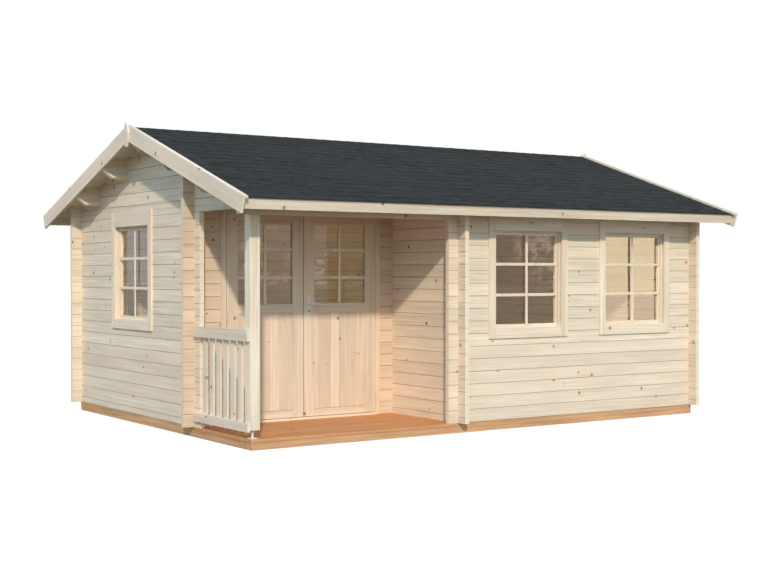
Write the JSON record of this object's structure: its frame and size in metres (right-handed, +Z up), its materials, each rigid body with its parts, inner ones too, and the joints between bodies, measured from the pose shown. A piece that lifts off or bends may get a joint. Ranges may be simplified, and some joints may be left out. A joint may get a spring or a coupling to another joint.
{
  "type": "log cabin",
  "caption": "Small log cabin with a porch cut into one front corner, a glazed double door, framed windows and a low gabled roof on purlins.",
  "frame": {"origin": "middle of the bounding box at ground level, under the ground frame", "axes": "+X along the ridge to the right gable, -Y to the front with the porch, +Z up"},
  "size_m": [5.656, 4.5376, 2.815],
  "materials": {
    "spruce_log": "planed, untreated",
    "spruce_board": "planed, untreated",
    "door_board": "planed, untreated",
    "treated_timber": "impregnated",
    "roof_felt": "mineral felt shingles",
    "glass": "clear",
    "steel": "galvanised",
    "handle_metal": "satin"
  },
  "bodies": {
    "cabin": {"foundation_frame": "treated_timber", "floor_joists": "treated_timber", "floor": "spruce_board", "porch_deck": "treated_timber", "front_wall": "spruce_log", "front_wall_plate": "spruce_log", "back_wall": "spruce_log", "right_gable_wall": "spruce_log", "left_gable_wall": "spruce_log", "left_gable_top": "spruce_log", "porch_side_wall": "spruce_log", "recess_wall_left": "spruce_log", "recess_wall_right": "spruce_log", "recess_wall_over_door": "spruce_log", "corner_post": "spruce_board", "post_foot": "steel", "railing": "spruce_board", "ridge_purlin": "spruce_board", "side_purlins": "spruce_board", "door_frame": "spruce_board", "threshold": "spruce_board", "finials": "spruce_board", "frame_hinges": "steel", "window_panes": "glass", "roof_boards_front": "spruce_board", "roof_cover_front": "roof_felt", "fascia_front": "spruce_board", "roof_boards_back": "spruce_board", "roof_cover_back": "roof_felt", "fascia_back": "spruce_board", "barge_boards_left": "spruce_board", "verge_battens_left": "spruce_board", "barge_boards_right": "spruce_board", "verge_battens_right": "spruce_board", "window_casing_front_left": "spruce_board", "window_sash_front_left": "door_board", "window_casing_front_right": "spruce_board", "window_sash_front_right": "door_board", "window_casing_gable": "spruce_board", "window_sash_gable": "door_board"},
    "left_leaf": {"door_leaf_left": "door_board", "door_pane_left": "glass", "door_hinges_left": "steel"},
    "right_leaf": {"door_leaf_right": "door_board", "door_pane_right": "glass", "door_hinges_right": "steel", "handle_plates": "handle_metal"},
    "lever": {"door_lever": "handle_metal"}
  },
  "joints": [
    {"name": "left_door_hinge", "type": "hinge", "parent": "cabin", "child": "left_leaf", "pos_m": [-2.2385, -0.869, 1.05], "axis": [0, 0, -1], "range_deg": [0, 100]},
    {"name": "right_door_hinge", "type": "hinge", "parent": "cabin", "child": "right_leaf", "pos_m": [-0.6615, -0.869, 1.05], "axis": [0, 0, 1], "range_deg": [0, 100]},
    {"name": "lever_turn", "type": "hinge", "parent": "right_leaf", "child": "lever", "pos_m": [-1.394, -0.862, 1.158], "axis": [0, 1, 0], "range_deg": [0, 40], "stiffness_Nm_per_rad": 3, "springref_deg": -11.46}
  ]
}
